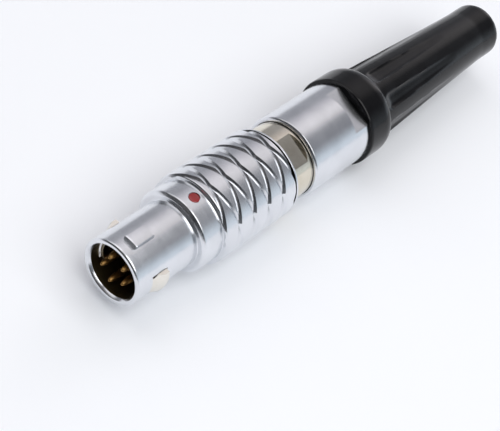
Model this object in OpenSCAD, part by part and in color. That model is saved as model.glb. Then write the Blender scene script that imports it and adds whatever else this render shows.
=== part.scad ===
// Push-pull circular plug with latch fingers, cross-cut grip, collet nut and bend relief.
// The plug lies on its side: its axis runs along +X from the mouth of the nose to the
// cable end of the bend relief, and its index key points up.
// Every x below is measured from the plane of the mouth.

/* [Nose] */
// Outer diameter of the nose that enters the socket
nose_d = 8.65; // [8.5:0.05:8.7]
// Bore of the nose
nose_bore_d = 7.1; // [7:0.05:7.2]
// Length of the nose from its mouth to the shoulder
nose_len = 9.9; // [9.7:0.1:12]
// Width of the index key
key_w = 1.9; // [1.2:0.1:2.4]
// Length of the index key
key_len = 3; // [2:0.1:5]
// Distance from the mouth to the index key
key_x = 1.6; // [1.4:0.1:3]
// Height of the index key above the nose
key_h = 0.55; // [0.3:0.05:0.7]

/* [Release sleeve] */
// Diameter of the smooth band that carries the index dot
band_d = 10.8; // [10.7:0.1:11.2]
// Length of the smooth band behind the shoulder
band_len = 3.3; // [3.1:0.1:5]
// Diameter of the cross-cut grip
grip_d = 12; // [11.9:0.1:13]
// Length of the cross-cut grip
grip_len = 12.95; // [12:0.05:14]
// Diameter of the plain rim behind the grip
rim_d = 11.66; // [11.4:0.02:11.8]
// Diameter of the index dot
dot_d = 1.5; // [0.8:0.1:2]

/* [Grip pattern] */
// Starts of the helical grooves in each direction
groove_starts = 3; // [2:1:4]
// Lead of one helical groove
groove_lead = 8.1; // [6:0.1:12]
// Width of a groove at the surface
groove_w = 0.62; // [0.3:0.02:0.9]
// Depth of a groove
groove_depth = 0.35; // [0.2:0.05:0.4]

/* [Latch] */
// Diameter over the two latch teeth
tooth_d = 9.6; // [9.4:0.05:9.8]
// Width of a latch finger
finger_w = 3.4; // [2.4:0.1:3.6]
// Thickness of a latch finger
finger_t = 0.35; // [0.3:0.05:0.4]
// Travel of the release sleeve
release_travel = 1; // [0.8:0.05:1.1]
// Clearance between the sliding shell and what it slides on
slide_gap = 0.1; // [0.08:0.01:0.15]

/* [Latch sleeve] */
// Wall left under a groove of the grip; it sets the diameter of the gold ring
shell_wall = 0.45; // [0.4:0.05:0.6]
// Length of the gold ring that shows behind the grip
sleeve_show = 3.75; // [2.5:0.05:6]
// Depth of the two spanner flats of the ring
sleeve_flat_depth = 0.42; // [0.2:0.02:0.6]
// Angle of the spanner flats from the key
sleeve_flat_turn = 20; // [0:1:90]

/* [Contacts] */
// Number of contact pins
pins = 5; // [4:1:5]
// Diameter of a contact pin
pin_d = 0.9; // [0.7:0.1:0.9]
// Diameter of the circle of contacts
pin_circle_d = 3.6; // [3.2:0.1:3.6]
// Depth of the pin tips behind the mouth
pin_recess = 0.2; // [0.1:0.1:2]
// Depth of the insulator's face behind the mouth
insulator_recess = 6.3; // [5:0.1:7]

/* [Collet nut] */
// Diameter of the collet nut
nut_d = 11.28; // [11:0.02:11.6]
// Length of the collet nut in front of the bend relief
nut_len = 10.95; // [9:0.05:14]
// Depth of the nut's two spanner flats
nut_flat_depth = 0.94; // [0.4:0.02:1]
// Length of the flats that shows in front of the bend relief
nut_flat_len = 2.6; // [2:0.1:4]
// Angle of the nut's flats from the key
nut_flat_turn = 14.5; // [0:0.5:90]
// Bore of the collet that grips the cable
cable_d = 4.6; // [3:0.1:4.6]

/* [Bend relief] */
// Diameter of the collar
collar_d = 12.2; // [12.1:0.1:13]
// Length of the collar
collar_len = 4.7; // [4.5:0.1:6]
// Diameter of the tapered body behind the collar
relief_d = 10.3; // [10:0.1:10.6]
// Diameter of the tapered body near its end
relief_end_d = 7.7; // [7.4:0.1:8.2]
// Length of the tapered body
relief_len = 28.6; // [26:0.1:34]
// Bore for the cable
relief_bore_d = 5; // [4.8:0.1:5]
// Number of flutes round the body
flutes = 8; // [4:1:9]
// Length of the flutes
flute_len = 17; // [12:0.5:20]

/* [Hidden] */
$fn = 96;

chrome = [0.80, 0.81, 0.83];
gold_nickel = [0.84, 0.80, 0.66];
gold = [0.88, 0.70, 0.32];
black = [0.09, 0.09, 0.10];
red = [0.62, 0.10, 0.10];
brown = [0.42, 0.30, 0.18];

part_gap = 0.02;      // fit between pieces that are assembled and stay put
over = 1;             // how far a cutter runs past the face it cuts

// Stations along the axis
shoulder_x = nose_len;
grip_x = shoulder_x + band_len;
rim_x = grip_x + grip_len;
rim_groove = 0.2;     // small turned groove where the helical grooves run out
rim_groove_depth = 0.26;
rim_len = 0.65;
shell_end = rim_x + rim_len;
sleeve_end = shell_end + sleeve_show;
nut_end = sleeve_end + nut_len;
collar_end = nut_end + collar_len;
tail_x = collar_end + relief_len;

// Shell
nose_r = nose_d / 2;
nose_bore_r = nose_bore_d / 2;
band_r = band_d / 2;
grip_r = grip_d / 2;
rim_r = rim_d / 2;
mouth_edge = 0.35;
mouth_lead = 0.4;
edge = 0.1;                       // small chamfer on turned edges
shoulder_chamfer = 0.4;
shell_web = 1.3;                  // thickness of the wall behind the shoulder
neck_room = 3.8;                  // length of the narrower bore behind that wall
bore_step = 0.45;
step_1_x = shoulder_x + shell_web;
step_2_x = step_1_x + neck_room;
shell_bore_r = grip_r - groove_depth - shell_wall;
shell_mid_r = shell_bore_r - bore_step;
sleeve_r = shell_bore_r - slide_gap;
dot_depth = 0.28;
dot_from_shoulder = 2.1;
dot_x = shoulder_x + dot_from_shoulder;

// Latch: the tooth's profile runs up two slopes to a flat crest, then drops
tooth_r = tooth_d / 2;
finger_r = nose_bore_r - slide_gap;
finger_bore_r = finger_r - finger_t;
finger_x = 1.85;
ramp_foot_x = 1.95;
ramp_mid_x = 2.75;
ramp_mid_r = 4.3;
crest_x = 4.0;
crest_end_x = 4.65;
window_x = 2.35;
window_end_x = 4.8;
window_lean = 0.7;                // how far the front face leans forward at the bore
window_w = finger_w + 2 * slide_gap;
root_gap = 0.05;
finger_root_x = step_1_x - 0.6;

// Latch sleeve
neck_end_x = step_1_x + release_travel + root_gap;
body_x = step_2_x + release_travel + root_gap;
seat_web = 0.5;                   // wall in front of the insulator's seat
seat_x = body_x + seat_web;
thread_wall = 0.58;               // wall left between a flat and the thread
thread_r = sleeve_r - sleeve_flat_depth - thread_wall;
spigot_len = 5.1;                 // threaded spigot of the nut inside the latch sleeve
spigot_x = sleeve_end - spigot_len;

// Insulator and contacts
insulator_front_r = 2.6;
insulator_r = finger_bore_r - part_gap;
flange_len = 1.5;
boss_len = 1.5;
flange_end_x = seat_x + flange_len;
insulator_end_x = flange_end_x + boss_len;
pin_r = pin_d / 2;
pin_shoulder = 0.2;
pin_body_r = pin_r + pin_shoulder;
pin_body_len = 4.5;               // thick part of a contact in front of the seat
pin_step_x = seat_x - pin_body_len;
pin_tail_len = 2.5;               // solder cup that stands out of the insulator
pin_end_x = insulator_end_x + pin_tail_len;
cup_wall = 0.23;
cup_r = pin_body_r - cup_wall;
cup_depth = 2;

// Carrier, collet and nut
carrier_r = thread_r - part_gap;
carrier_wall = 0.78;
carrier_bore_r = carrier_r - carrier_wall;
carrier_lip_h = 0.6;
carrier_lip_r = carrier_bore_r - carrier_lip_h;
carrier_x = flange_end_x + part_gap;
carrier_end_x = spigot_x - part_gap;
carrier_lip = 0.8;
spigot_r = thread_r - part_gap;
spigot_wall = 0.6;
cone_gap = 0.05;                  // slack round the collet before the nut is tightened
collet_r = spigot_r - spigot_wall - cone_gap;
collet_x = spigot_x + 2 * cone_gap;
collet_straight = 0.4;            // straight part of the collet past the spigot
cone_len = 3;
collet_cone_x = sleeve_end + collet_straight;
collet_end_x = collet_cone_x + cone_len;
collet_wall = 0.7;
collet_end_r = cable_d / 2 + collet_wall;
collet_slots = 4;
collet_slot_w = 0.4;
collet_ring = 1.5;                // unslotted ring at the front of the collet
collet_slot_x = collet_x + collet_ring;
nut_r = nut_d / 2;
nut_bore_gap = 0.4;               // room for the cable behind the nut's cone
nut_bore_r = relief_bore_d / 2 + nut_bore_gap;
neck_step = 0.69;
nut_neck_r = nut_r - neck_step;
neck_len = 3.6;                   // neck of the nut inside the bend relief's collar
nut_tail_x = nut_end + neck_len;
snap_from_nut = 1.3;
snap_x = nut_end + snap_from_nut;
snap_len = 0.7;
snap_depth = 0.4;
snap_r = nut_neck_r - snap_depth;
flat_under_collar = 1;            // how far the nut's flats run on under the collar

// Bend relief
collar_r = collar_d / 2;
collar_edge = 0.5;
socket_slack = 0.1;
root_rise = 0.1;                  // small cone where the tapered body leaves the collar
root_run = 0.15;
socket_r = nut_neck_r + part_gap;
socket_end_x = nut_tail_x + socket_slack;
relief_mid_x = collar_end + relief_len / 2;
relief_mid_r = relief_end_d / 2 + (relief_d - relief_end_d) * 0.2;
relief_fall = (relief_d / 2 - relief_mid_r) / (relief_mid_x - collar_end);
relief_end_len = 4;               // straight end of the body, as its mould left it
relief_end_x = tail_x - relief_end_len;
tail_round = 0.8;
flute_r = 1.8;
flute_depth = 0.36;
flute_from_collar = 1.5;
flute_x = collar_end + flute_from_collar;
flute_turn = -5;

// The plug rests on its widest ring, and its frame is centred over that rest
axis_z = max(collar_r, grip_r);

module place() translate([-tail_x / 2, 0, axis_z]) children();

// Turns an outline of [x, radius] points about the axis
module turned(outline)
  rotate([0, 90, 0]) rotate_extrude() polygon([for (p = outline) [p[1], p[0]]]);

// A straight round hole or bar along the axis
module rod(x0, x1, r)
  translate([x0, 0, 0]) rotate([0, 90, 0]) cylinder(r = r, h = x1 - x0);

// Cutters for two opposite flats on a turned wall
module flat_cutters(x0, x1, wall_r, depth, turn)
  for (side = [0, 180]) rotate([turn + side, 0, 0])
    translate([x0, -wall_r, wall_r - depth]) cube([x1 - x0, 2 * wall_r, depth + over]);

// One helical V groove: a triangle swept along the grip
module helical_groove(hand, start_angle) {
  turn_step = 12;
  lead_in = hand > 0 ? 0.8 : 0.93;  // the two hands' facets are staggered where they cross
  crossing_x = grip_x + 1.1;        // a crossing lies in line with the key here
  clear = 0.2;
  root_r = grip_r - groove_depth;
  top_r = grip_r + clear;
  top_half = groove_w / 2 * (top_r - root_r) / groove_depth;
  section = [[0, root_r], [top_half, top_r], [-top_half, top_r]];
  x_start = grip_x - lead_in;
  run = rim_x + rim_groove / 2 - x_start;
  rings = ceil(run / groove_lead * 360 / turn_step);
  points = [for (i = [0 : rings]) let (x = x_start + run * i / rings,
      a = start_angle + hand * 360 * (x - crossing_x) / groove_lead)
    for (p = section) [x + p[0], -p[1] * sin(a), p[1] * cos(a)]];
  sides = [for (i = [0 : rings - 1]) for (k = [0 : 2])
    let (a = 3 * i + k, b = 3 * i + (k + 1) % 3, c = b + 3, d = a + 3)
    each (hand > 0 ? [[a, c, b], [a, d, c]] : [[a, b, c], [a, c, d]])];
  last = 3 * rings;
  caps = hand > 0 ? [[0, 1, 2], [last + 2, last + 1, last]]
                  : [[2, 1, 0], [last, last + 1, last + 2]];
  polyhedron(points, concat(sides, caps));
}

// Window in the nose for a latch tooth; its front face is a cone that leans under the wall
module latch_window() {
  under = 0.3;
  lean = window_lean / (nose_r - nose_bore_r);
  intersection() {
    turned([
      [window_x - window_lean - lean * under, nose_bore_r - under], [window_x, nose_r],
      [window_x, nose_r + over], [window_end_x, nose_r + over], [window_end_x, nose_bore_r - under]]);
    translate([0, -window_w / 2, 0]) cube([window_end_x + over, window_w, nose_r + 2 * over]);
  }
}

module shell_blank()
  turned([
    [0, nose_r - mouth_edge], [mouth_edge * 0.3, nose_r - mouth_edge * 0.3], [mouth_edge, nose_r],
    [shoulder_x, nose_r], [shoulder_x, band_r - shoulder_chamfer],
    [shoulder_x + shoulder_chamfer * 0.6, band_r - shoulder_chamfer * 0.15],
    [shoulder_x + shoulder_chamfer, band_r],
    [grip_x, band_r], [grip_x, grip_r - edge], [grip_x + edge, grip_r],
    [rim_x - edge, grip_r], [rim_x, grip_r - edge], [rim_x, rim_r - rim_groove_depth],
    [rim_x + rim_groove, rim_r - rim_groove_depth], [rim_x + rim_groove, rim_r - edge],
    [rim_x + rim_groove + edge, rim_r], [shell_end - edge, rim_r], [shell_end, rim_r - edge],
    [shell_end, shell_bore_r + edge], [shell_end - edge, shell_bore_r],
    [step_2_x, shell_bore_r], [step_2_x, shell_mid_r], [step_1_x, shell_mid_r],
    [step_1_x, nose_bore_r], [mouth_lead, nose_bore_r], [0, nose_bore_r + mouth_lead * 0.6]]);

module index_key()
  intersection() {
    rod(key_x, key_x + key_len, nose_r + key_h);
    translate([key_x, -key_w / 2, nose_r - 0.3]) cube([key_len, key_w, 2]);
  }

module outer_shell() color(chrome) place()
  difference() {
    union() {
      shell_blank();
      index_key();
    }
    for (side = [90, -90]) rotate([side, 0, 0]) latch_window();
    translate([dot_x, 0, band_r - dot_depth]) cylinder(d = dot_d + 2 * part_gap, h = over);
    for (hand = [-1, 1]) for (i = [0 : groove_starts - 1])
      helical_groove(hand, i * 360 / groove_starts);
  }

// Paint that fills the recess, with a sunken domed top
module index_dot() {
  dot_r = dot_d / 2;
  fill = dot_depth - 0.05;
  color(red) place() translate([dot_x, 0, band_r - dot_depth]) rotate_extrude()
    polygon([[0, 0], [dot_r, 0], [dot_r, fill / 2], [dot_r - edge, fill * 0.85], [0, fill]]);
}

// A sprung finger with its tooth, cut from a turned ring; it points up before it is turned
module latch_finger() {
  profile = [[finger_x, finger_bore_r], [finger_x, finger_r], [ramp_foot_x, finger_r],
             [ramp_mid_x, ramp_mid_r], [crest_x, tooth_r], [crest_end_x, tooth_r],
             [crest_end_x + 0.1, finger_r], [finger_root_x - root_gap, finger_r],
             [finger_root_x - root_gap, finger_bore_r]];
  intersection() {
    turned(profile);
    translate([0, -finger_w / 2, 0]) cube([finger_root_x + over, finger_w, tooth_r + over]);
  }
}

module latch_finger_left() color(gold_nickel) place() rotate([-90, 0, 0]) latch_finger();

module latch_finger_right() color(gold_nickel) place() rotate([90, 0, 0]) latch_finger();

module latch_sleeve() {
  neck_r = finger_r;
  mid_r = shell_mid_r - slide_gap;
  flat_start = shell_end - 1.6;
  flat_end = shell_end + 2.4;
  half_chord = sqrt(pow(sleeve_r, 2) - pow(sleeve_r - sleeve_flat_depth, 2));
  color(gold_nickel) place() difference() {
    turned([
      [finger_root_x + root_gap, finger_bore_r], [finger_root_x + root_gap, neck_r],
      [neck_end_x, neck_r], [neck_end_x, mid_r], [body_x, mid_r], [body_x, sleeve_r],
      [sleeve_end - edge, sleeve_r], [sleeve_end, sleeve_r - edge], [sleeve_end, thread_r],
      [seat_x, thread_r], [seat_x, finger_bore_r]]);
    for (side = [0, 180]) rotate([sleeve_flat_turn + side, 0, 0])
      translate([0, 0, sleeve_r - sleeve_flat_depth]) linear_extrude(sleeve_flat_depth + over) {
        translate([flat_start, -half_chord - over])
          square([flat_end - flat_start, 2 * (half_chord + over)]);
      }
  }
}

// One place on the circle of contacts; the first lies opposite the key
module at_pin(i) rotate([180 + i * 360 / pins, 0, 0]) translate([0, 0, pin_circle_d / 2]) children();

module insulator() color(brown) place()
  difference() {
    turned([
      [insulator_recess, 0], [insulator_recess, insulator_front_r],
      [finger_root_x, insulator_front_r], [finger_root_x, insulator_r],
      [seat_x, insulator_r], [seat_x, thread_r - part_gap], [flange_end_x, thread_r - part_gap],
      [flange_end_x, carrier_bore_r - part_gap], [insulator_end_x, carrier_bore_r - part_gap],
      [insulator_end_x, 0]]);
    for (i = [0 : pins - 1]) at_pin(i) {
      rod(insulator_recess - over, pin_step_x + over, pin_r + part_gap);
      rod(pin_step_x, insulator_end_x + over, pin_body_r + part_gap);
    }
  }

module contact(i) color(gold) place()
  if (i < pins) at_pin(i)
    difference() {
      turned([
        [pin_recess, 0], [pin_recess, pin_r * 0.35], [pin_recess + 0.1, pin_r * 0.75],
        [pin_recess + 0.35, pin_r], [pin_step_x, pin_r], [pin_step_x, pin_body_r],
        [pin_end_x, pin_body_r], [pin_end_x, 0]]);
      rod(pin_end_x - cup_depth, pin_end_x + over, cup_r);
      translate([pin_end_x - cup_depth * 0.7, -over, 0]) cube([over + cup_depth, 2 * over, over]);
    }

module contact_1() contact(0);
module contact_2() contact(1);
module contact_3() contact(2);
module contact_4() contact(3);
module contact_5() contact(4);

// Half of the split sleeve that holds the insulator back against its seat
module carrier_half(turn) color(gold_nickel) place()
  rotate([turn, 0, 0]) intersection() {
    difference() {
      turned([
        [carrier_x, carrier_bore_r], [carrier_x, carrier_r], [carrier_end_x, carrier_r],
        [carrier_end_x, carrier_lip_r], [carrier_end_x - carrier_lip, carrier_lip_r],
        [carrier_end_x - carrier_lip, carrier_bore_r]]);
      translate([insulator_end_x + 0.6, 0, 0]) cylinder(r = 0.9, h = 2 * carrier_r);
    }
    translate([0, -carrier_r - over, part_gap]) cube([tail_x, 2 * (carrier_r + over), carrier_r + over]);
  }

module carrier_half_upper() carrier_half(0);
module carrier_half_lower() carrier_half(180);

module collet() color(gold_nickel) place()
  difference() {
    turned([
      [collet_x, cable_d / 2 + 0.3], [collet_x, collet_r], [collet_cone_x, collet_r],
      [collet_end_x, collet_end_r], [collet_end_x, cable_d / 2], [collet_x + 0.3, cable_d / 2]]);
    for (i = [0 : collet_slots - 1]) rotate([45 + i * 360 / collet_slots, 0, 0])
      translate([collet_slot_x, -collet_slot_w / 2, 0])
        cube([collet_end_x - collet_slot_x + over, collet_slot_w, collet_r + over]);
  }

module collet_nut() {
  cone_room = 0.2;
  color(chrome) place() difference() {
    turned([
      [spigot_x, collet_r + cone_gap], [spigot_x, spigot_r - edge], [spigot_x + edge, spigot_r],
      [sleeve_end, spigot_r], [sleeve_end, nut_r - 3 * edge], [sleeve_end + edge, nut_r - 2 * edge],
      [sleeve_end + 2 * edge, nut_r], [nut_end - edge, nut_r], [nut_end, nut_r - edge],
      [nut_end, nut_neck_r], [snap_x, nut_neck_r], [snap_x, snap_r],
      [snap_x + snap_len, snap_r], [snap_x + snap_len, nut_neck_r],
      [nut_tail_x - 3 * edge, nut_neck_r], [nut_tail_x, nut_neck_r - 3 * edge],
      [nut_tail_x, nut_bore_r], [collet_end_x + cone_room, nut_bore_r],
      [collet_end_x + cone_room, collet_end_r + cone_gap], [collet_cone_x, collet_r + cone_gap]]);
    flat_cutters(nut_end - nut_flat_len, nut_end + flat_under_collar, nut_r, nut_flat_depth,
                 nut_flat_turn);
  }
}

// Round-nosed cutter for one flute; it comes out of the tapering wall at its far end
module flute_cutter() {
  front_r = relief_d / 2 - flute_depth + flute_r - (flute_x - collar_end) * relief_fall;
  back_r = relief_d / 2 + flute_r - (flute_x + flute_len - collar_end) * relief_fall + 0.05;
  tilt = atan2(back_r - front_r, flute_len);
  translate([flute_x, 0, front_r]) rotate([0, 90 - tilt, 0]) {
    cylinder(r = flute_r, h = flute_len + 2);
    sphere(r = flute_r);
  }
}

module bend_relief() color(black) place()
  difference() {
    turned([
      [nut_end, socket_r], [nut_end, collar_r - 0.15], [nut_end + 0.15, collar_r],
      [collar_end - collar_edge * 2.8, collar_r], [collar_end - collar_edge * 1.6, collar_r - 0.07],
      [collar_end - collar_edge * 0.7, collar_r - 0.22],
      [collar_end - collar_edge * 0.2, collar_r - 0.42], [collar_end, collar_r - 0.6],
      [collar_end, relief_d / 2 + root_rise], [collar_end + root_run, relief_d / 2],
      [relief_mid_x, relief_mid_r], [relief_end_x, relief_end_d / 2],
      [tail_x - tail_round, relief_end_d / 2],
      [tail_x - tail_round * 0.3, relief_end_d / 2 - tail_round * 0.3],
      [tail_x, relief_end_d / 2 - tail_round], [tail_x, relief_bore_d / 2],
      [socket_end_x, relief_bore_d / 2], [socket_end_x, socket_r],
      [snap_x + snap_len - part_gap, socket_r], [snap_x + snap_len - part_gap, snap_r + part_gap],
      [snap_x + part_gap, snap_r + part_gap], [snap_x + part_gap, socket_r]]);
    for (i = [0 : flutes - 1]) rotate([flute_turn + i * 360 / flutes, 0, 0]) flute_cutter();
  }

outer_shell();
index_dot();
latch_sleeve();
latch_finger_left();
latch_finger_right();
insulator();
contact_1();
contact_2();
contact_3();
contact_4();
contact_5();
carrier_half_upper();
carrier_half_lower();
collet();
collet_nut();
bend_relief();
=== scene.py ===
from math import atan2, cos, pi, radians, sin, sqrt

import bpy
from mathutils import Matrix, Vector


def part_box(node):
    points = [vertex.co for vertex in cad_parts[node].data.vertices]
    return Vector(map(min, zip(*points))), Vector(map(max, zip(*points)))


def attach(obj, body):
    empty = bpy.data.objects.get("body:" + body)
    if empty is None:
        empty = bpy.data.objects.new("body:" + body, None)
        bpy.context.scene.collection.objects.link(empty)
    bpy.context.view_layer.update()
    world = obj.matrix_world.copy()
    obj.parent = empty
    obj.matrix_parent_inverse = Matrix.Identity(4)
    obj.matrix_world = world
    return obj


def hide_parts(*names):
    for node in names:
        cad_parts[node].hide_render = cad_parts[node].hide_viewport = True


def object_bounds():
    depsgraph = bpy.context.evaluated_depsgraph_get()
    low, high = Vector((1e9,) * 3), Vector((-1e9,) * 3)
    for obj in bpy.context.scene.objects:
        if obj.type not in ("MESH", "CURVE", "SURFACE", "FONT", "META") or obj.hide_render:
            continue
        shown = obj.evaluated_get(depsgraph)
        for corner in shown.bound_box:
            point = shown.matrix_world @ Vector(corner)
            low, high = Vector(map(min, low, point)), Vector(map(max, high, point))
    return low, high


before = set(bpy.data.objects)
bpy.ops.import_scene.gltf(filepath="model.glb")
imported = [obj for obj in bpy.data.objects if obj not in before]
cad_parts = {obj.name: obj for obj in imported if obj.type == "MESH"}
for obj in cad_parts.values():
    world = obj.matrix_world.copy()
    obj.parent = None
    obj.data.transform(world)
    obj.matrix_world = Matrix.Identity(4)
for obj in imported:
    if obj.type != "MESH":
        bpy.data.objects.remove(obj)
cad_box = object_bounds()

# Camera. It looks down on the mouth of the plug from the key's side, rolled so that the
# plug runs up to the right. The direction is kept as angles round the plug's middle.
mouth_x = cad_box[0].x                      # every x below is in mm from this plane
look_at = Vector((mouth_x + 0.027063, -0.000995, cad_box[0].z - 0.002128))
camera_distance = 0.19256
camera_azimuth = radians(-157.4286)      # round the plug, from its cable end
camera_elevation = radians(48.0137)
camera_roll = radians(26.1239)
sight = -Vector((cos(camera_elevation) * cos(camera_azimuth),
                 cos(camera_elevation) * sin(camera_azimuth), sin(camera_elevation)))
lens_data = bpy.data.cameras.new("camera")
lens_data.lens = 108
lens_data.sensor_width = 36
lens_data.clip_start = 0.001
camera = bpy.data.objects.new("camera", lens_data)
bpy.context.scene.collection.objects.link(camera)
level = sight.to_track_quat("-Z", "Y").to_matrix()
camera.matrix_world = Matrix.Translation(look_at - sight * camera_distance) @ (
    level @ Matrix.Rotation(camera_roll, 3, "Z")).to_4x4()
bpy.context.scene.camera = camera
bpy.context.scene.view_settings.view_transform = "Standard"


# Studio. The plug lies on a white board between pale walls; a grey gap in the ceiling draws
# the soft band along the metal. The room is dark in front of the mouth, and has a window
# behind the cable end.
def linear(chart):
    """Turns a paint chart's hex colour to linear light."""
    channels = [int(chart[i:i + 2], 16) / 255 for i in (1, 3, 5)]
    return [c / 12.92 if c <= 0.04045 else ((c + 0.055) / 1.055) ** 2.4 for c in channels] + [1]


def add_node(tree, kind, settings=None, stops=None, **inputs):
    """Adds one node. An input is a number or colour, or the output that feeds it.

    Stops are the places and hex colours of a colour ramp.
    """
    made = tree.nodes.new("ShaderNode" + kind)
    for name, value in (settings or {}).items():
        setattr(made, name, value)
    if stops:
        elements = made.color_ramp.elements
        elements.remove(elements[-1])
        for i, (place, chart) in enumerate(stops):
            stop = elements[0] if i == 0 else elements.new(place)
            stop.position = place
            stop.color = linear(chart)
    for name, value in inputs.items():
        socket = made.inputs[int(name[1:]) if name[1:].isdigit() else name.replace("_", " ")]
        if isinstance(value, bpy.types.NodeSocket):
            tree.links.new(value, socket)
        else:
            socket.default_value = value
    return made


world = bpy.data.worlds.new("studio")
bpy.context.scene.world = world
world.use_nodes = True
air = world.node_tree
air.nodes.clear()
heading = add_node(air, "TexCoord")
split = add_node(air, "SeparateXYZ", Vector=heading.outputs["Generated"])
left = add_node(air, "Math", {"operation": "MULTIPLY"}, _0=split.outputs["Y"], _1=-1.0)
around = add_node(air, "Math", {"operation": "ARCTAN2"}, _0=left.outputs[0],
                  _1=split.outputs["Z"])
turn_share = add_node(air, "Math", {"operation": "MULTIPLY_ADD"}, _0=around.outputs[0],
                      _1=0.5 / pi, _2=0.5)
# colour of the room by degrees round the plug's axis: 0 overhead, positive on the -Y side
wall_colours = [
    (-180, "#DADDE2"), (-112, "#A6A8AE"), (-60, "#A0A1A7"), (-36, "#D8D4D9"), (-20, "#F0ECEE"),
    (-2, "#E4E0E2"), (16, "#8A8B90"), (46, "#7B7C82"), (60, "#A3A9B0"), (80, "#DCE6F0"),
    (100, "#EAF3FC"), (180, "#DADDE2")]
walls = add_node(air, "ValToRGB", stops=[(0.5 + turn / 360, chart) for turn, chart in wall_colours],
                 Fac=turn_share.outputs[0])
front = add_node(air, "MapRange", {"interpolation_type": "SMOOTHSTEP"}, Value=split.outputs["X"],
                 From_Min=-0.6, From_Max=0.1, To_Min=0.12, To_Max=1.0)
daylight = add_node(air, "MapRange", {"interpolation_type": "SMOOTHSTEP"},
                    Value=split.outputs["X"], From_Min=0.72, From_Max=0.92, To_Min=0.0, To_Max=1.3)
brightness = add_node(air, "Math", {"operation": "ADD"}, _0=front.outputs[0],
                      _1=daylight.outputs[0])
shine = add_node(air, "Background", Color=walls.outputs[0], Strength=brightness.outputs[0])
add_node(air, "OutputWorld", Surface=shine.outputs[0])

board_width = 3.0
bpy.ops.object.select_all(action="DESELECT")
bpy.ops.mesh.primitive_plane_add(size=board_width, location=(0, 0, 0))
board = bpy.context.object
board.name = "board"
# matt white board: cold pressed card, which scatters all light evenly and has no sheen
board_paint = bpy.data.materials.new("matt white board")
board_paint.use_nodes = True
tree = board_paint.node_tree
tree.nodes.clear()
matt = add_node(tree, "BsdfDiffuse", Color=linear("#F8FAFD"))
add_node(tree, "OutputMaterial", Surface=matt.outputs[0])
board.data.materials.append(board_paint)

softbox_width = 0.8
for name, place, power in (("softbox", (-0.04, -0.4, 0.69), 4.8),
                           ("fill_softbox", (-0.04, 0.5, 0.62), 1.4)):
    light = bpy.data.lights.new(name, "AREA")
    light.shape = "RECTANGLE"
    light.size = light.size_y = softbox_width
    light.energy = power
    lamp = bpy.data.objects.new(name, light)
    bpy.context.scene.collection.objects.link(lamp)
    lamp.location = place
    lamp.rotation_euler = (-lamp.location).to_track_quat("-Z", "Y").to_euler()


# Outer shell. One bar of brass, turned, milled and satin chromed: the nose that enters the
# socket, its key and latch windows, and the sleeve whose cross-cut grip is pulled to unlatch.
MM = 0.001


def select_none():
    if bpy.context.mode != "OBJECT":
        bpy.ops.object.mode_set(mode="OBJECT")
    bpy.ops.object.select_all(action="DESELECT")


def turned(name, outline, steps=192, capped=False):
    """Runs a ring along an outline of (x, radius) points in mm, as a tool runs along a bar."""
    plain_len, loop_gap = 1.2, 0.3             # a longer plain length gets a loop near each end
    held = [outline[0]]
    for (x0, r0), (x1, r1) in zip(outline, outline[1:]):
        if abs(x1 - x0) > plain_len and r0 == r1:
            step = loop_gap if x1 > x0 else -loop_gap
            held += [(x0 + step, r0), (x1 - step, r0)]
        held.append((x1, r1))
    outline = held
    select_none()
    x, r = outline[0]
    bpy.ops.mesh.primitive_circle_add(vertices=steps, radius=r, location=(x, 0, 0),
                                      rotation=(0, pi / 2, 0))
    piece = bpy.context.object
    piece.name = piece.data.name = name
    bpy.ops.object.transform_apply(location=True, rotation=True, scale=True)
    bpy.ops.object.mode_set(mode="EDIT")
    bpy.ops.mesh.select_all(action="SELECT")
    if capped:
        bpy.ops.mesh.edge_face_add()
        bpy.ops.mesh.select_all(action="SELECT")
    for (x0, r0), (x1, r1) in zip(outline, outline[1:]):
        bpy.ops.mesh.extrude_edges_move(TRANSFORM_OT_translate={"value": (x1 - x0, 0, 0)})
        bpy.ops.transform.resize(value=(1, r1 / r0, r1 / r0), center_override=(x1, 0, 0))
    if capped:
        bpy.ops.mesh.edge_face_add()
    bpy.ops.mesh.select_all(action="SELECT")
    bpy.ops.mesh.remove_doubles(threshold=0.0005)
    bpy.ops.mesh.normals_make_consistent(inside=False)
    bpy.ops.object.mode_set(mode="OBJECT")
    return piece


def apply_modifier(piece, kind, **settings):
    select_none()
    bpy.context.view_layer.objects.active = piece
    piece.select_set(True)
    made = piece.modifiers.new(kind.lower(), kind)
    for name, value in settings.items():
        setattr(made, name, value)
    bpy.ops.object.modifier_apply(modifier=made.name)


def broken_edges(piece, width, segments=2):
    """Takes the sharpness off the turned edges, as a file held to the spinning bar does."""
    apply_modifier(piece, "BEVEL", width=width, segments=segments, limit_method="ANGLE",
                   angle_limit=radians(25), use_clamp_overlap=True)


def machine(piece, cutter, how="DIFFERENCE"):
    """Cuts a piece with a cutter, then throws the cutter away."""
    apply_modifier(piece, "BOOLEAN", operation=how, solver="EXACT", object=cutter)
    bpy.data.objects.remove(cutter)


def block(x0, x1, y0, y1, z0, z1, turn=0):
    """A square cutter or stock, turned about the plug's axis."""
    select_none()
    bpy.ops.mesh.primitive_cube_add(size=1)
    made = bpy.context.object
    made.data.transform(Matrix.Translation(((x0 + x1) / 2, (y0 + y1) / 2, (z0 + z1) / 2))
                        @ Matrix.Diagonal((x1 - x0, y1 - y0, z1 - z0, 1)))
    made.data.transform(Matrix.Rotation(radians(turn), 4, "X"))
    return made


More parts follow.
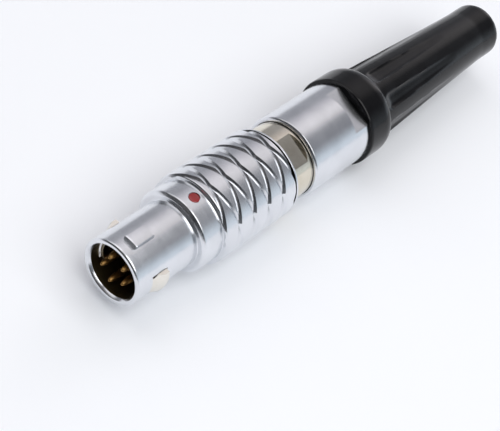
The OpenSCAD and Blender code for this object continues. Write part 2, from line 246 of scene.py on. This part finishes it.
def seat(piece, body, slot, node, *finishes):
    """Brings a finished piece from mm round its own axis to its place in the plug."""
    select_none()
    bpy.context.view_layer.objects.active = piece
    piece.select_set(True)
    piece.data.transform(Matrix.Translation((mouth_x, 0, axis_height)) @ Matrix.Scale(MM, 4))
    bpy.ops.object.shade_smooth_by_angle(angle=radians(28))
    apply_modifier(piece, "WEIGHTED_NORMAL", mode="FACE_AREA", weight=50, keep_sharp=True)
    for finish in finishes:
        piece.data.materials.append(finish)
    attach(piece, body)
    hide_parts(node)


nose_r, nose_bore_r, nose_len = 4.325, 3.55, 9.9
band_r, grip_r, rim_r = 5.4, 6.0, 5.83
grip_x = nose_len + 3.3
rim_x = grip_x + 12.95
rim_groove, rim_floor_r = 0.28, rim_r - 0.42     # the groove in front of the rear rim
rim_groove_x, rim_front_x = rim_x - 0.07, rim_x + rim_groove
mouth_edge = 0.17
shell_end = rim_x + 0.65
step_1_x, step_2_x = nose_len + 1.3, nose_len + 5.1
shell_bore_r, shell_mid_r = 5.2, 4.75
shell = turned("chromed_shell", [
    (0.0, nose_r - mouth_edge), (mouth_edge, nose_r),
    (nose_len - 0.08, nose_r), (nose_len, nose_r + 0.08), (nose_len, band_r - 0.42),
    (nose_len + 0.16, band_r - 0.2), (nose_len + 0.36, band_r),
    (grip_x - 0.08, band_r), (grip_x, band_r + 0.06), (grip_x, grip_r - 0.14),
    (grip_x + 0.14, grip_r), (rim_x - 0.15, grip_r), (rim_groove_x, grip_r - 0.08),
    (rim_groove_x, rim_floor_r), (rim_front_x, rim_floor_r), (rim_front_x, rim_r - 0.06),
    (rim_front_x + 0.06, rim_r), (shell_end - 0.12, rim_r), (shell_end, rim_r - 0.12),
    (shell_end, shell_bore_r + 0.1), (shell_end - 0.1, shell_bore_r), (step_2_x, shell_bore_r),
    (step_2_x, shell_mid_r), (step_1_x, shell_mid_r), (step_1_x, nose_bore_r),
    (0.4, nose_bore_r), (0.0, nose_bore_r + 0.24), (0.0, nose_r - mouth_edge)])
broken_edges(shell, 0.03)

under, over = 0.3, 1                       # how far stock and cutters run past a surface
key_x, key_end_x, key_w, key_r, key_edge = 1.6, 4.6, 1.9, nose_r + 0.55, 0.06
key = turned("key", [
    (key_x, nose_r - under), (key_x, key_r - key_edge), (key_x + key_edge, key_r),
    (key_end_x - key_edge, key_r), (key_end_x, key_r - key_edge), (key_end_x, nose_r - under),
    (key_x, nose_r - under)])
machine(key, block(key_x - over, key_end_x + over, -key_w / 2, key_w / 2, 1, key_r + over),
        "INTERSECT")
broken_edges(key, 0.05)
machine(shell, key, "UNION")

window_x, window_end_x, window_lean, window_w = 2.35, 4.8, 0.7, 3.6
lean = window_lean / (nose_r - nose_bore_r)
for side in (90, -90):
    window = turned("window", [
        (window_x - window_lean - under * lean, nose_bore_r - under), (window_x, nose_r),
        (window_x, nose_r + over), (window_end_x, nose_r + over),
        (window_end_x, nose_bore_r - under),
        (window_x - window_lean - under * lean, nose_bore_r - under)])
    machine(window, block(0, window_end_x + over, -window_w / 2, window_w / 2, 1,
                          nose_r + 2 * over, turn=side), "INTERSECT")
    machine(shell, window)

fit_gap = 0.02                             # what is left between pieces that are pressed in
dot_x, dot_r, dot_depth = nose_len + 2.1, 0.75, 0.28
axis_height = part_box("index_dot")[0].z - (band_r - dot_depth) * MM
select_none()
bpy.ops.mesh.primitive_cylinder_add(vertices=64, radius=dot_r + fit_gap, depth=1,
                                    location=(dot_x, 0, band_r - dot_depth + 0.5))
machine(shell, bpy.context.object)

groove_lead, groove_w, groove_depth, groove_starts = 8.1, 0.62, 0.35, 3
crossing_x = grip_x + 1.1                  # where the first cuts of the two hands cross
root_r, top_r = grip_r - groove_depth, grip_r + 0.2
top_half = groove_w / 2 * (top_r - root_r) / groove_depth
for hand, run_in in ((-1, 0.93), (1, 0.8)):  # unlike run-ins, so that no two cuts end alike
    x_start = grip_x - run_in
    run = rim_x + rim_groove / 2 - x_start
    for start in range(groove_starts):
        select_none()
        bpy.ops.mesh.primitive_circle_add(vertices=3, radius=1)
        tool = bpy.context.object
        point = [(0, root_r), (top_half, top_r), (-top_half, top_r)]
        for corner, (x, r) in zip(tool.data.vertices, point):
            corner.co = (x_start + x, 0, r)
        apply_modifier(tool, "SCREW", axis="X", angle=hand * 2 * pi * run / groove_lead,
                       screw_offset=run, steps=150, render_steps=150, use_merge_vertices=False)
        bpy.ops.object.mode_set(mode="EDIT")
        bpy.ops.mesh.select_all(action="SELECT")
        bpy.ops.mesh.fill_holes(sides=4)
        bpy.ops.mesh.normals_make_consistent(inside=False)
        bpy.ops.object.mode_set(mode="OBJECT")
        begins = 2 * pi * (start / groove_starts + hand * (x_start - crossing_x) / groove_lead)
        tool.data.transform(Matrix.Rotation(begins, 4, "X"))
        machine(shell, tool)


def refinish(piece, slot, chosen):
    """Gives the faces that are chosen by x and radius another of the piece's finishes."""
    for face in piece.data.polygons:
        x, y, z = face.center
        if chosen(x, sqrt(y * y + z * z)):
            face.material_index = slot


def finish_named(name):
    """An empty material with its shader and the place on the piece in mm."""
    made = bpy.data.materials.new(name)
    made.use_nodes = True
    tree = made.node_tree
    tree.nodes.clear()
    shader = add_node(tree, "BsdfPrincipled")
    add_node(tree, "OutputMaterial", Surface=shader.outputs[0])
    spot = add_node(tree, "TexCoord")
    in_mm = add_node(tree, "Mapping", Vector=spot.outputs["Object"], Scale=(1000, 1000, 1000))
    return made, tree, shader, in_mm.outputs[0]


def turned_metal(name, pale, deep, roughness, line_depth):
    """Plated metal off a lathe: fine rings round the axis, and a faint mottle in the plate."""
    made, tree, shader, in_mm = finish_named(name)
    ring_place = add_node(tree, "Mapping", Vector=in_mm, Scale=(9.0, 0.25, 0.25))
    rings = add_node(tree, "TexNoise", Vector=ring_place.outputs[0], Scale=1.0, Detail=3.0,
                     Roughness=0.6)
    mottle = add_node(tree, "TexNoise", Vector=in_mm, Scale=0.35, Detail=4.0, Roughness=0.6)
    shader.inputs["Metallic"].default_value = 1.0
    tint = add_node(tree, "ValToRGB", stops=[(0.3, deep), (0.7, pale)], Fac=mottle.outputs["Fac"])
    tree.links.new(tint.outputs[0], shader.inputs["Base Color"])
    mixed = add_node(tree, "Math", {"operation": "MULTIPLY_ADD"}, _0=mottle.outputs["Fac"],
                     _1=0.5, _2=rings.outputs["Fac"])
    gloss = add_node(tree, "MapRange", Value=mixed.outputs[0], From_Min=0.3, From_Max=1.2,
                     To_Min=roughness - 0.05, To_Max=roughness + 0.06)
    tree.links.new(gloss.outputs[0], shader.inputs["Roughness"])
    bump = add_node(tree, "Bump", Strength=1.0, Distance=line_depth * MM,
                    Height=rings.outputs["Fac"])
    tree.links.new(bump.outputs[0], shader.inputs["Normal"])
    return made


# satin chrome plate: pale and slightly blue, softly mirrored, with the lathe's rings under it
satin_chrome = turned_metal("satin chrome plate", "#E4E6EA", "#DADCE0", 0.22, 0.0006)
# bore: thin, dull plate over brass, since little current reaches the inside of a plated tube; its
# colour is also made darker as painted shade inside the bore
bore_plate_and_shade = turned_metal("thinly plated bore in painted shade", "#75684A", "#5E533A", 0.42, 0.0005)
# narrow grooves and faces between parts: a dark grey plate painted there as shade
painted_shade_plate = turned_metal("painted shade in grooves", "#34332F", "#252422", 0.4, 0.0005)
# painted shade: the bore behind the mouth's bevel gets the darker plate
refinish(shell, 1, lambda x, r: 0.41 < x < step_1_x and r < nose_bore_r + 0.05)
# painted shade: the groove in front of the rear rim is darkened in colour
refinish(shell, 2, lambda x, r: rim_groove_x - 0.01 < x < rim_front_x + 0.02 and r < rim_r - 0.05)
seat(shell, "release_shell", "satin_chrome", "outer_shell", satin_chrome, bore_plate_and_shade, painted_shade_plate)

# Index dot. Red enamel run into a drilled recess and sunk in the middle as it dried; it
# shows which way up the plug goes in.
paint_r = dot_r - 0.06
dot = turned("enamel_dot", [
    (-0.2, 0.02), (-0.22, paint_r - 0.03), (-0.2, paint_r), (-0.02, paint_r),
    (0.03, paint_r - 0.1), (-0.03, paint_r * 0.5), (-0.05, 0.02)], steps=48, capped=True)
dot.data.transform(Matrix.Translation((dot_x, 0, band_r - 0.06)) @ Matrix.Rotation(-pi / 2, 4, "Y"))
# red enamel: deep red and glossy, darker where the paint lies thicker
made, tree, shader, in_mm = finish_named("red enamel")
pooled = add_node(tree, "TexNoise", Vector=in_mm, Scale=1.6, Detail=3.0)
tint = add_node(tree, "ValToRGB", stops=[(0.3, "#7E1618"), (0.7, "#942020")],
                Fac=pooled.outputs["Fac"])
tree.links.new(tint.outputs[0], shader.inputs["Base Color"])
shader.inputs["Roughness"].default_value = 0.28
shader.inputs["IOR"].default_value = 1.52
bump = add_node(tree, "Bump", Strength=1.0, Distance=0.02 * MM, Height=pooled.outputs["Fac"])
tree.links.new(bump.outputs[0], shader.inputs["Normal"])
seat(dot, "release_shell", "red_lacquer", "index_dot", made)

# Latch sleeve. A turned brass tube plated pale gold, which slides inside the shell; its rear
# end shows as the gold ring, milled with two flats for a spanner.
sleeve_r, finger_r, finger_bore_r, thread_r = 5.1, 3.45, 3.1, 4.1
finger_root_x = step_1_x - 0.6
neck_end_x, body_x = step_1_x + 1.05, step_2_x + 1.05
seat_x, sleeve_end = step_2_x + 1.55, shell_end + 3.75
root_gap, slide_gap = 0.05, 0.1
sleeve = turned("gold_latch_sleeve", [
    (finger_root_x + root_gap, finger_bore_r), (finger_root_x + root_gap, finger_r),
    (neck_end_x, finger_r), (neck_end_x, shell_mid_r - slide_gap),
    (body_x, shell_mid_r - slide_gap), (body_x, sleeve_r), (sleeve_end - 0.12, sleeve_r),
    (sleeve_end, sleeve_r - 0.12), (sleeve_end, thread_r), (seat_x, thread_r),
    (seat_x, finger_bore_r), (finger_root_x + root_gap, finger_bore_r)])
broken_edges(sleeve, 0.03)
# the flats for the spanner: a round cutter leaves each with a slightly curved rear end
flat_depth, flat_turn, flat_x, flat_end_x, mill_r = 0.43, 20, shell_end - 1.6, shell_end + 3.4, 6.0
half_chord = sqrt(sleeve_r ** 2 - (sleeve_r - flat_depth) ** 2)
for side in (0, 180):
    select_none()
    bpy.ops.mesh.primitive_cylinder_add(vertices=256, radius=mill_r, depth=2,
                                        location=(flat_end_x - mill_r, 0,
                                                  sleeve_r - flat_depth + 1))
    mill = bpy.context.object
    bpy.ops.object.transform_apply(location=True, rotation=True, scale=True)
    machine(mill, block(flat_x, flat_end_x + over, -half_chord - 0.5, half_chord + 0.5, 1, 9),
            "INTERSECT")
    mill.data.transform(Matrix.Rotation(radians(flat_turn + side), 4, "X"))
    machine(sleeve, mill)
# pale gold plate over nickel: warm, brighter than brass, with a mirror under faint rings
gold_nickel = turned_metal("pale gold plate", "#E3DDCF", "#D5CDBC", 0.16, 0.0008)
seat(sleeve, "core", "champagne_nickel", "latch_sleeve", gold_nickel)

# Latch fingers. Two sprung tongues of the latch sleeve, each with a ramped tooth that stands
# out of its window and drops behind a groove in the socket.
finger_w, finger_x, ramp_foot_x, ramp_mid_x, ramp_mid_r = 3.4, 1.85, 1.95, 2.75, 4.22
crest_x, crest_end_x, tooth_r, corner_x = 4.0, 4.65, 4.8, 3.1
tooth = [
    (finger_x, finger_bore_r), (finger_x, finger_r), (ramp_foot_x, finger_r),
    (ramp_mid_x, ramp_mid_r), (crest_x, tooth_r), (crest_end_x, tooth_r),
    (crest_end_x + 0.1, finger_r), (finger_root_x - root_gap, finger_r),
    (finger_root_x - root_gap, finger_bore_r), (finger_x, finger_bore_r)]
# the tongues' teeth rub in the socket, so their plate is paler and brighter than the tube's
pale_nickel = turned_metal("rubbed pale gold plate", "#EEEBE4", "#E5E0D6", 0.2, 0.0004)
for name, side, body in (("latch_tongue_left", -90, "finger_left"),
                         ("latch_tongue_right", 90, "finger_right")):
    finger = turned(name, tooth)
    machine(finger, block(0, finger_root_x + over, -finger_w / 2, finger_w / 2, 1, 6), "INTERSECT")
    for hand in (-1, 1):                       # the ramp's two corners are taken off
        corner = block(-2, 0, -3, 3, finger_r + 0.1, 6)
        corner.data.transform(Matrix.Translation((corner_x, hand * finger_w / 2, 0))
                              @ Matrix.Rotation(radians(-45 * hand), 4, "Z"))
        machine(finger, corner)
    broken_edges(finger, 0.04)
    finger.data.transform(Matrix.Rotation(radians(side), 4, "X"))
    seat(finger, body, "champagne_nickel", "latch_" + body, pale_nickel)

# Insulator. Machined from a rod of brown insulating plastic, drilled for five contacts, and
# held back against a step in the latch sleeve.
pins, pin_r, pin_circle_r = 5, 0.45, 1.8
insulator_x, flange_end_x, insulator_end_x = 6.3, seat_x + 1.5, seat_x + 3.0
insulator_front_r, boss_r, core_r = 2.6, 3.26, 0.3
insulator = turned("drilled_insulator", [
    (insulator_x, core_r), (insulator_x, insulator_front_r), (finger_root_x, insulator_front_r),
    (finger_root_x, finger_bore_r - fit_gap), (seat_x, finger_bore_r - fit_gap),
    (seat_x, thread_r - fit_gap), (flange_end_x, thread_r - fit_gap), (flange_end_x, boss_r),
    (insulator_end_x, boss_r), (insulator_end_x, core_r)], capped=True)
broken_edges(insulator, 0.05)
for i in range(pins):
    select_none()
    bpy.ops.mesh.primitive_cylinder_add(vertices=48, radius=pin_r + fit_gap, depth=20,
                                        location=(15, 0, pin_circle_r), rotation=(0, pi / 2, 0))
    drill = bpy.context.object
    bpy.ops.object.transform_apply(location=True, rotation=True, scale=True)
    drill.data.transform(Matrix.Rotation(radians(180 + i * 360 / pins), 4, "X"))
    machine(insulator, drill)
# machined brown plastic: an even dark brown, dulled by the marks of the cutter
made, tree, shader, in_mm = finish_named("machined brown plastic")
cloud = add_node(tree, "TexNoise", Vector=in_mm, Scale=0.8, Detail=4.0)
tint = add_node(tree, "ValToRGB", stops=[(0.3, "#54391F"), (0.7, "#644627")],
                Fac=cloud.outputs["Fac"])
tree.links.new(tint.outputs[0], shader.inputs["Base Color"])
shader.inputs["Roughness"].default_value = 0.5
shader.inputs["IOR"].default_value = 1.6
cut_marks = add_node(tree, "TexNoise", Vector=in_mm, Scale=6.0, Detail=2.0)
bump = add_node(tree, "Bump", Strength=1.0, Distance=0.01 * MM, Height=cut_marks.outputs["Fac"])
tree.links.new(bump.outputs[0], shader.inputs["Normal"])
seat(insulator, "core", "peek", "insulator", made)

# Contacts. Five brass pins turned on a bar machine and gold plated, pressed into the
# insulator; each ends behind in a cup for its soldered wire.
# gold plate over nickel: a deep yellow, painted darker and browner as shade for the pins deep in
# the bore, and blurred because the bar's turning marks stay under it
gold_plate = turned_metal("gold plate", "#B08A54", "#937040", 0.34, 0.0006)
pin_step_x, pin_end_x, cup_r, cup_depth = seat_x - 4.5, insulator_end_x + 2.5, 0.42, 2
for i in range(pins):
    contact = turned(f"contact_pin_{i + 1}", [
        (0.2, 0.04), (0.23, 0.1), (0.34, 0.19), (0.55, 0.29), (0.85, 0.37), (1.25, 0.43),
        (1.7, pin_r), (pin_step_x, pin_r),
        (pin_step_x, pin_r + 0.2), (pin_end_x, pin_r + 0.2), (pin_end_x, cup_r),
        (pin_end_x - cup_depth, cup_r), (pin_end_x - cup_depth, 0.1)], steps=32, capped=True)
    contact.data.transform(Matrix.Rotation(radians(180 + i * 360 / pins), 4, "X")
                           @ Matrix.Translation((0, 0, pin_circle_r)))
    seat(contact, "core", "gold_plate", f"contact_{i + 1}", gold_plate)

# Insert carrier and collet. Turned, plated pieces inside the plug: two half shells that hold
# the insulator back, and a slotted collet that grips the cable's jacket.
for name in ("carrier_half_upper", "carrier_half_lower", "collet"):
    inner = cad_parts[name]
    inner.data.materials.clear()
    inner.data.materials.append(gold_nickel)

# Collet nut. Turned and satin chromed, screwed into the gold ring; two flats take the
# spanner, and a grooved neck behind holds the bend relief.
nut_r, nut_neck_r, spigot_r = 5.64, 4.95, 4.08
nut_end = sleeve_end + 10.95
spigot_x, snap_x, nut_tail_x = sleeve_end - 5.1, nut_end + 1.3, nut_end + 3.6
snap_end_x, snap_r = snap_x + 0.7, nut_neck_r - 0.4
cone_x, cone_end_x = sleeve_end + 0.4, sleeve_end + 3.4 + 0.2
socket_r, cone_end_r, cable_way_r = 3.48, 3.05, 2.9
nut = turned("chromed_nut", [
    (spigot_x, socket_r), (spigot_x, spigot_r - 0.1), (spigot_x + 0.1, spigot_r),
    (sleeve_end, spigot_r), (sleeve_end, sleeve_r + 0.07), (sleeve_end, nut_r - 0.22),
    (sleeve_end + 0.2, nut_r), (nut_end - 0.1, nut_r), (nut_end, nut_r - 0.1),
    (nut_end, nut_neck_r), (snap_x, nut_neck_r), (snap_x, snap_r), (snap_end_x, snap_r),
    (snap_end_x, nut_neck_r), (nut_tail_x - 0.3, nut_neck_r), (nut_tail_x, nut_neck_r - 0.3),
    (nut_tail_x, cable_way_r), (cone_end_x, cable_way_r), (cone_end_x, cone_end_r),
    (cone_x, socket_r), (spigot_x, socket_r)])
broken_edges(nut, 0.03)
nut_flat_depth, nut_flat_len, nut_flat_turn = 0.94, 2.6, 14.5
for side in (0, 180):
    machine(nut, block(nut_end - nut_flat_len, nut_end + over, -nut_r, nut_r,
                       nut_r - nut_flat_depth, nut_r + over, turn=nut_flat_turn + side))
# painted shade: the nut's front face against the gold ring is darkened in colour
refinish(nut, 1, lambda x, r: abs(x - sleeve_end) < 0.02 and r < sleeve_r)
seat(nut, "core", "satin_chrome", "collet_nut", satin_chrome, painted_shade_plate)

# Bend relief. One glossy black elastomer moulding, snapped over the nut's neck; eight
# shallow flutes thin its tapered body where the cable leaves, so that it bends gently.
collar_r, collar_end, relief_len = 6.1, nut_end + 4.7, 28.6
tail_x = collar_end + relief_len
body_front_r, body_mid_r, body_end_r = 5.15, 4.37, 3.85
body_mid_x = collar_end + relief_len / 2
end_round, steps_along = 0.8, 90


def body_radius(x):
    """The moulding's taper behind the collar, with a small root radius and a rounded end."""
    if x <= body_mid_x:
        share = (x - collar_end) / (body_mid_x - collar_end)
        r = body_front_r + (body_mid_r - body_front_r) * share
    else:                                      # the last 4 mm are straight
        share = min(1, (x - body_mid_x) / (tail_x - 4 - body_mid_x))
        r = body_mid_r + (body_end_r - body_mid_r) * share
    root = max(0.0, 0.35 - (x - collar_end))
    tip = max(0.0, x - (tail_x - end_round))
    return r + root * root / 0.7 - (end_round - sqrt(max(0.0, end_round ** 2 - tip * tip)))


relief_bore_r, neck_fit_r, snap_fit_r = 2.5, nut_neck_r + fit_gap, snap_r + fit_gap
outline = [(nut_end, neck_fit_r), (nut_end, collar_r - 0.2), (nut_end + 0.06, collar_r - 0.06),
           (nut_end + 0.2, collar_r), (nut_end + 1.6, collar_r), (collar_end - 1.4, collar_r),
           (collar_end - 0.95, collar_r - 0.04), (collar_end - 0.6, collar_r - 0.13),
           (collar_end - 0.32, collar_r - 0.24), (collar_end - 0.12, collar_r - 0.38),
           (collar_end - 0.03, collar_r - 0.5), (collar_end, collar_r - 0.6)]
along_body = [collar_end + i / steps_along * relief_len for i in range(steps_along + 1)]
outline += [(x, body_radius(x)) for x in along_body]
outline += [(tail_x, relief_bore_r + 0.1), (tail_x - 0.1, relief_bore_r),
            (nut_tail_x + 0.1, relief_bore_r), (nut_tail_x + 0.1, neck_fit_r),
            (snap_end_x - fit_gap, neck_fit_r), (snap_end_x - fit_gap, snap_fit_r),
            (snap_x + fit_gap, snap_fit_r), (snap_x + fit_gap, neck_fit_r), (nut_end, neck_fit_r)]
relief = turned("fluted_bend_relief", outline)
# eight flutes, by degrees round the axis: each starts in a round end and runs out over its length
flutes, flute_turn, flute_half_width, flute_len, flute_deep = 8, -5, 12.5, 17, 0.38
flute_x = collar_end + 0.5
for vertex in relief.data.vertices:
    x, y, z = vertex.co
    r = sqrt(y * y + z * z)
    if x < flute_x or r < 3.0 or x > tail_x - 0.1:
        continue
    about = (atan2(-y, z) * 180 / pi - flute_turn) % (360 / flutes)
    off = min(about, 360 / flutes - about) / flute_half_width
    along = (x - flute_x) / flute_len
    fade = min(1.0, (1 - along) * 1.15) if along < 1 else 0.0
    start = min(1.0, (x - flute_x) / 1.3)      # 1.3 mm of round end
    width = max(0.15, sqrt(max(0.0, start * (2 - start)))) * (0.55 + 0.45 * fade)
    share = max(0.0, 1 - (off / width) ** 2)
    dip = flute_deep * fade * min(1.0, start * 1.4) * share * (2 - share) * 0.9
    vertex.co.y = y * (r - dip) / r
    vertex.co.z = z * (r - dip) / r
# glossy black elastomer: nearly black, with a soft shine and a faint bloom from the mould
made, tree, shader, in_mm = finish_named("glossy black elastomer")
bloom = add_node(tree, "TexNoise", Vector=in_mm, Scale=0.5, Detail=4.0)
tint = add_node(tree, "ValToRGB", stops=[(0.3, "#09090A"), (0.75, "#101012")],
                Fac=bloom.outputs["Fac"])
tree.links.new(tint.outputs[0], shader.inputs["Base Color"])
gloss = add_node(tree, "MapRange", Value=bloom.outputs["Fac"], From_Min=0.3, From_Max=0.7,
                 To_Min=0.1, To_Max=0.18)
tree.links.new(gloss.outputs[0], shader.inputs["Roughness"])
shader.inputs["IOR"].default_value = 1.45
shader.inputs["Specular IOR Level"].default_value = 0.28
skin = add_node(tree, "TexNoise", Vector=in_mm, Scale=5.0, Detail=3.0)
bump = add_node(tree, "Bump", Strength=1.0, Distance=0.006 * MM, Height=skin.outputs["Fac"])
tree.links.new(bump.outputs[0], shader.inputs["Normal"])
seat(relief, "core", "black_elastomer", "bend_relief", made)
